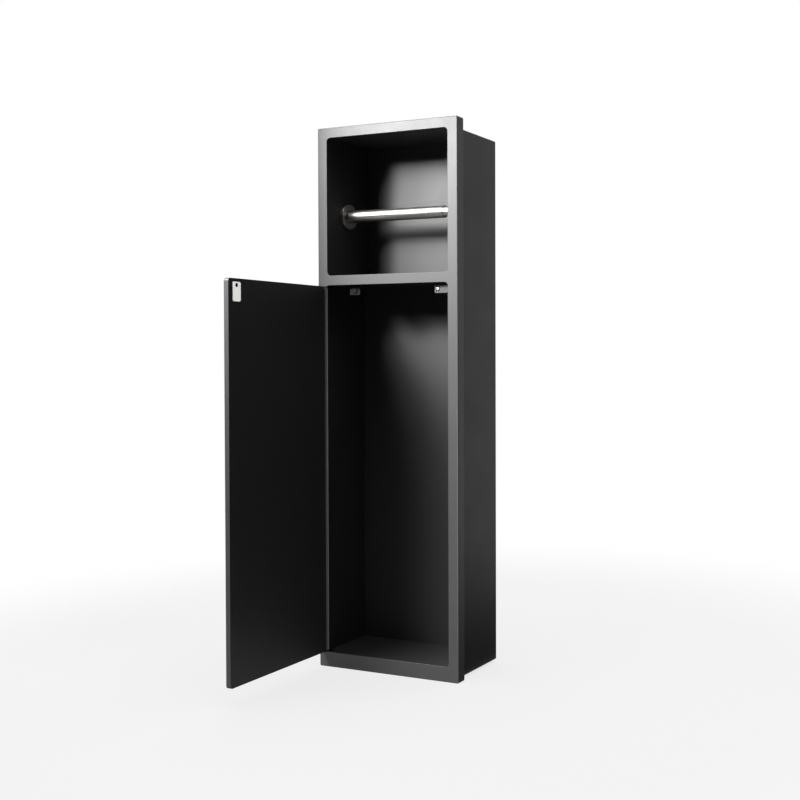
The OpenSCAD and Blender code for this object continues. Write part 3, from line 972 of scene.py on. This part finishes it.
@dataclass
class PushLatch:
    """The push latch and the door stop under the cupboard's ceiling."""

    finishes: Finishes
    bracket_edge: float = 0.5
    housing_edge: float = 0.6
    fine_edge: float = 0.3
    ear_seat: Point = (81.2, 38.2, 564.5)
    side_seat: Point = (100.0, 6.2, 567.5)
    stop_seat: Point = (-60.5, 4.2, 567.5)
    ear_screw_length: float = 7.5
    short_screw_length: float = 4.5
    plunger_travel: float = 3.0

    def build(self) -> None:
        """Makes the latch, the stop and their screws."""
        coat, nylon, zinc = self.finishes.coat, self.finishes.nylon, self.finishes.zinc
        edge = [Rounding(self.bracket_edge, always, 3)]
        softened("latch_bracket", Body.CABINET, Slot.COAT, coat, edge)
        softened("stop_bracket", Body.CABINET, Slot.RUBBER, self.finishes.rubber, edge)
        softened(
            "latch_housing",
            Body.CABINET,
            Slot.NYLON,
            nylon,
            [Rounding(self.housing_edge, always, 3)],
        )
        softened(
            "stop_buffer",
            Body.CABINET,
            Slot.RUBBER,
            self.finishes.rubber,
            [Rounding(self.housing_edge, always, 3)],
        )
        softened(
            "latch_plunger", Body.PLUNGER, Slot.ZINC, zinc, [Rounding(self.fine_edge, always, 3)]
        )
        down = Vector((0, 0, -1))
        ear_screw, short_screw = (
            ScrewPattern(shank=1.5, head=2.8, head_height=1.6, length=length)
            for length in (self.ear_screw_length, self.short_screw_length)
        )
        ear = ear_screw.build("latch_screws_made", [(Vector(self.ear_seat), down)], zinc)
        dress(ear, Body.CABINET, Slot.ZINC, "latch_screws")
        side = short_screw.build("latch_side_screw_made", [(Vector(self.side_seat), down)], zinc)
        dress(side, Body.CABINET, Slot.ZINC)
        stop = short_screw.build("stop_screw_made", [(Vector(self.stop_seat), down)], zinc)
        dress(stop, Body.CABINET, Slot.ZINC, "stop_screw")
        spring = softened("latch_spring", Body.CABINET, Slot.ZINC, zinc, [])
        shorten(spring)


@dataclass
class RollBar:
    """The sprung roll bar and the two rosettes that hold it."""

    finishes: Finishes
    fine_edge: float = 0.3
    wall_x: float = 104.0
    axis_y: float = 35.0
    axis_z: float = 674.5
    screw_offset: float = 14.0
    bar_travel: float = 8.0

    def build(self) -> None:
        """Makes the tubes, the plug, the rosettes and their screws."""
        fine = [Rounding(self.fine_edge, always, 3)]
        steel = self.finishes.steel_bar
        softened("bar_tube", Body.BAR, Slot.STAINLESS, steel, fine)
        softened("bar_plug", Body.BAR, Slot.NYLON, self.finishes.nylon, fine)
        softened("bar_inner_tube", Body.BAR_END, Slot.STAINLESS, steel, fine)
        softened("bar_cap", Body.BAR_END, Slot.STAINLESS, steel, fine)
        spring = softened("bar_spring", Body.BAR, Slot.ZINC, self.finishes.zinc, [])
        shorten(spring)
        pattern = ScrewPattern(
            shank=2.0, head=3.5, head_height=2.2, length=4.5, socket_depth=1.2
        )
        for side, way in (("left", -1), ("right", 1)):
            softened(f"rosette_{side}", Body.CABINET, Slot.STAINLESS, steel, fine)
            seats = [
                (
                    Vector((way * self.wall_x, self.axis_y, self.axis_z + s * self.screw_offset)),
                    Vector((way, 0, 0)),
                )
                for s in (-1, 1)
            ]
            made = pattern.build(f"rosette_screws_{side}_made", seats, self.finishes.zinc)
            dress(made, Body.CABINET, Slot.ZINC, f"rosette_screws_{side}")


# ----------------------------------------------------------------- studio


@dataclass(frozen=True)
class SoftBox:
    """A rectangular soft lamp; its places and sizes are in mm.

    A radiance of 1 is as bright as a white surface.
    """

    name: str
    at: Point
    aim: Point
    size: tuple[float, float]
    radiance: float

    def build(self) -> bpy.types.Object:
        """Adds the lamp, unseen by the camera.

        Returns:
            The lamp.
        """
        data = bpy.data.lights.new(self.name, "AREA")
        data.shape = "RECTANGLE"
        data.size, data.size_y = self.size[0] * MM, self.size[1] * MM
        data.energy = self.radiance * math.pi * data.size * data.size_y
        obj = bpy.data.objects.new(self.name, data)
        bpy.context.scene.collection.objects.link(obj)
        obj.location = Vector(self.at) * MM
        way = Vector(self.aim) - Vector(self.at)
        obj.rotation_euler = way.to_track_quat("-Z", "Y").to_euler()
        obj.visible_camera = False
        return obj


@dataclass
class Studio:
    """Camera, lamps, floor and background. Places and sizes in mm, angles in degrees."""

    camera_at: Point = (903.08, -1354.56, 464.11)
    yaw: float = 22.97
    pitch: float = 1.03
    focal_px: float = 1094.55
    centre_px: tuple[float, float] = (600.0, 375.0)
    picture_px: float = 800.0
    sensor: float = 36.0
    clip: tuple[float, float] = (50.0, 50000.0)
    # The lamps in front; the floor is spared, because its bounce would grey the cupboard
    front_lamps: tuple[SoftBox, ...] = (
        SoftBox("key_box", (-490.0, -640.0, 995.0), (0.0, 0.0, 620.0), (330.0, 150.0), 95.0),
        SoftBox("broad_box", (-760.0, -1371.0, 1300.0), (0.0, 0.0, 600.0), (600.0, 380.0), 30.0),
        SoftBox("high_box", (-560.0, -1300.0, 1560.0), (0.0, 0.0, 500.0), (500.0, 400.0), 60.0),
    )
    # The lamps that each light one piece alone
    piece_lamps: tuple[tuple[SoftBox, str], ...] = (
        (
            SoftBox(
                "plate_lamp", (900.0, 250.0, 650.0), (-104.0, -209.0, 548.0), (300.0, 300.0), 16.0
            ),
            "strike_plate_made",
        ),
        (
            SoftBox(
                "edge_lamp", (647.0, -1322.0, 450.0), (-103.0, -17.0, 400.0), (120.0, 1200.0), 80.0
            ),
            "front_frame_made",
        ),
    )
    top_fill: SoftBox = SoftBox(
        "top_fill", (0.0, -100.0, 2300.0), (0.0, -100.0, 0.0), (1800.0, 1800.0), 2.8
    )
    ambient: float = 0.26
    floor_half: float = 1600.0
    floor_colour: str = "#f6f6f5"
    floor_roughness: float = 0.9
    floor_specular: float = 0.1
    floor_lift: float = 0.75
    # The floor is whole up to the first of these distances and gone at the second
    floor_clear: tuple[float, float] = (550.0, 1150.0)
    velvet_colour: str = "#050505"
    # The top right corner of the card that shades the left stile, seen from the front
    card_corner: Point = (-214.0, -217.0, 1000.0)
    card_size: tuple[float, float] = (420.0, 400.0)
    curtain_plan: tuple[tuple[float, float], ...] = (
        (1500.0, 2250.0),
        (1500.0, -3200.0),
        (-2200.0, -3200.0),
        (-2200.0, 1500.0),
    )
    curtain_z: tuple[float, float] = (-1500.0, 3500.0)
    cloth_x: tuple[float, float] = (120.0, 1500.0)
    cloth_y: tuple[float, float] = (-3200.0, 500.0)
    cloth_z: float = 2.0

    def camera(self) -> None:
        """Sets the camera at the picture's point of view."""
        data = bpy.data.cameras.new("camera")
        data.sensor_width = self.sensor
        data.lens = self.focal_px * self.sensor / self.picture_px
        data.shift_x = (self.picture_px / 2 - self.centre_px[0]) / self.picture_px
        data.shift_y = (self.centre_px[1] - self.picture_px / 2) / self.picture_px
        data.clip_start, data.clip_end = self.clip[0] * MM, self.clip[1] * MM
        obj = bpy.data.objects.new("camera", data)
        bpy.context.scene.collection.objects.link(obj)
        obj.location = Vector(self.camera_at) * MM
        obj.rotation_euler = (math.radians(90 - self.pitch), 0, math.radians(self.yaw))
        bpy.context.scene.camera = obj

    def background(self) -> None:
        """Makes the world white to look at and in reflections, dimmer as a lamp."""
        world = bpy.data.worlds.new("white_studio")
        bpy.context.scene.world = world
        world.use_nodes = True
        tree = world.node_tree
        ray = add_node(tree, "ShaderNodeLightPath").outputs
        seen = add_node(
            tree,
            "ShaderNodeMath",
            {0: ray["Is Camera Ray"], 1: ray["Is Glossy Ray"]},
            operation="MAXIMUM",
        )
        seen = add_node(
            tree,
            "ShaderNodeMath",
            {0: seen.outputs[0], 1: ray["Is Transmission Ray"]},
            operation="MAXIMUM",
        )
        level = add_node(
            tree,
            "ShaderNodeMapRange",
            {"Value": seen.outputs[0], "To Min": self.ambient, "To Max": 1.0},
        )
        tree.links.new(level.outputs["Result"], tree.nodes["Background"].inputs["Strength"])
        tree.nodes["Background"].inputs["Color"].default_value = (1.0, 1.0, 1.0, 1.0)

    def card(self) -> None:
        """Holds a black card in front of the left stile, out of view, to shade it."""
        right, y, high = self.card_corner
        left, low = right - self.card_size[0], high - self.card_size[1]
        corners = ((left, low), (right, low), (right, high), (left, high))
        mesh = bpy.data.meshes.new("black_card")
        mesh.from_pydata([(x * MM, y * MM, z * MM) for x, z in corners], [], [(0, 1, 2, 3)])
        mesh.materials.append(bpy.data.materials["black_velvet"])
        obj = bpy.data.objects.new("black_card", mesh)
        bpy.context.scene.collection.objects.link(obj)
        obj.visible_camera = False

    def floor(self) -> bpy.types.Object:
        """Lays a pale floor that clears to the white background away from the object.

        Returns:
            The floor.
        """
        mesh = bpy.data.meshes.new("floor")
        half = self.floor_half * MM
        mesh.from_pydata(
            [(-half, -half, 0), (half, -half, 0), (half, half, 0), (-half, half, 0)],
            [],
            [(0, 1, 2, 3)],
        )
        obj = bpy.data.objects.new("floor", mesh)
        bpy.context.scene.collection.objects.link(obj)
        made, tree, shader, point = new_material("pale_floor")
        shader.inputs["Base Color"].default_value = linear(self.floor_colour)
        shader.inputs["Roughness"].default_value = self.floor_roughness
        shader.inputs["Specular IOR Level"].default_value = self.floor_specular
        reach = add_node(tree, "ShaderNodeVectorMath", {0: point}, operation="LENGTH")
        clear = add_node(
            tree,
            "ShaderNodeMapRange",
            {
                "Value": reach.outputs["Value"],
                "From Min": self.floor_clear[0] * MM,
                "From Max": self.floor_clear[1] * MM,
            },
            interpolation_type="SMOOTHSTEP",
        )
        ray = add_node(tree, "ShaderNodeLightPath").outputs
        share = add_node(
            tree,
            "ShaderNodeMath",
            {0: ray["Is Camera Ray"], 1: self.floor_lift},
            operation="MULTIPLY",
        )
        white = add_node(tree, "ShaderNodeEmission", {"Strength": 1.0})
        lifted = add_node(
            tree,
            "ShaderNodeMixShader",
            {0: share.outputs[0], 1: shader.outputs["BSDF"], 2: white.outputs["Emission"]},
        )
        see_through = add_node(tree, "ShaderNodeBsdfTransparent")
        mixed = add_node(
            tree,
            "ShaderNodeMixShader",
            {
                0: clear.outputs["Result"],
                1: lifted.outputs["Shader"],
                2: see_through.outputs["BSDF"],
            },
        )
        tree.links.new(mixed.outputs["Shader"], tree.nodes["Material Output"].inputs["Surface"])
        mesh.materials.append(made)
        return obj

    def curtain(self) -> None:
        """Hangs and lays black cloth that only reflections see, to keep the coat deep."""
        points = [(x * MM, y * MM, z * MM) for x, y in self.curtain_plan for z in self.curtain_z]
        panels = len(self.curtain_plan) - 1
        faces = [(2 * i, 2 * i + 2, 2 * i + 3, 2 * i + 1) for i in range(panels)]
        left, right = self.cloth_x
        near, far = self.cloth_y
        cloth = ((left, near), (right, near), (right, far), (left, far))
        faces.append(tuple(range(len(points), len(points) + len(cloth))))
        points += [(x * MM, y * MM, self.cloth_z * MM) for x, y in cloth]
        mesh = bpy.data.meshes.new("black_curtain")
        mesh.from_pydata(points, [], faces)
        made, _, shader, _ = new_material("black_velvet")
        shader.inputs["Base Color"].default_value = linear(self.velvet_colour)
        shader.inputs["Roughness"].default_value = 1.0
        shader.inputs["Specular IOR Level"].default_value = 0.0
        mesh.materials.append(made)
        obj = bpy.data.objects.new("black_curtain", mesh)
        bpy.context.scene.collection.objects.link(obj)
        obj.visible_camera = False
        obj.visible_diffuse = False
        obj.visible_transmission = False
        obj.visible_shadow = False

    def build(self) -> None:
        """Sets up everything round the object."""
        bpy.context.scene.view_settings.view_transform = "Standard"
        self.camera()
        self.background()
        self.curtain()
        self.card()
        floor = self.floor()
        spared = bpy.data.collections.new("spared_by_front_lamps")
        spared.objects.link(floor)
        spared.collection_objects[0].light_linking.link_state = "EXCLUDE"
        for box in self.front_lamps:
            box.build().light_linking.receiver_collection = spared
        for box, piece in self.piece_lamps:
            lit = bpy.data.collections.new("lit_by_" + box.name)
            lit.objects.link(bpy.data.objects[piece])
            box.build().light_linking.receiver_collection = lit
        self.top_fill.build()


def main() -> None:
    """Builds the cabinet's sub-assemblies, then the studio round them."""
    logging.basicConfig(level=logging.INFO, format="%(name)s: %(message)s")
    finishes = Finishes()
    for part in (FrontFrame, WallBox, DoorLeaf, PivotHinges, PushLatch, RollBar):
        part(finishes).build()
    Studio().build()


if __name__ == "__main__":
    main()
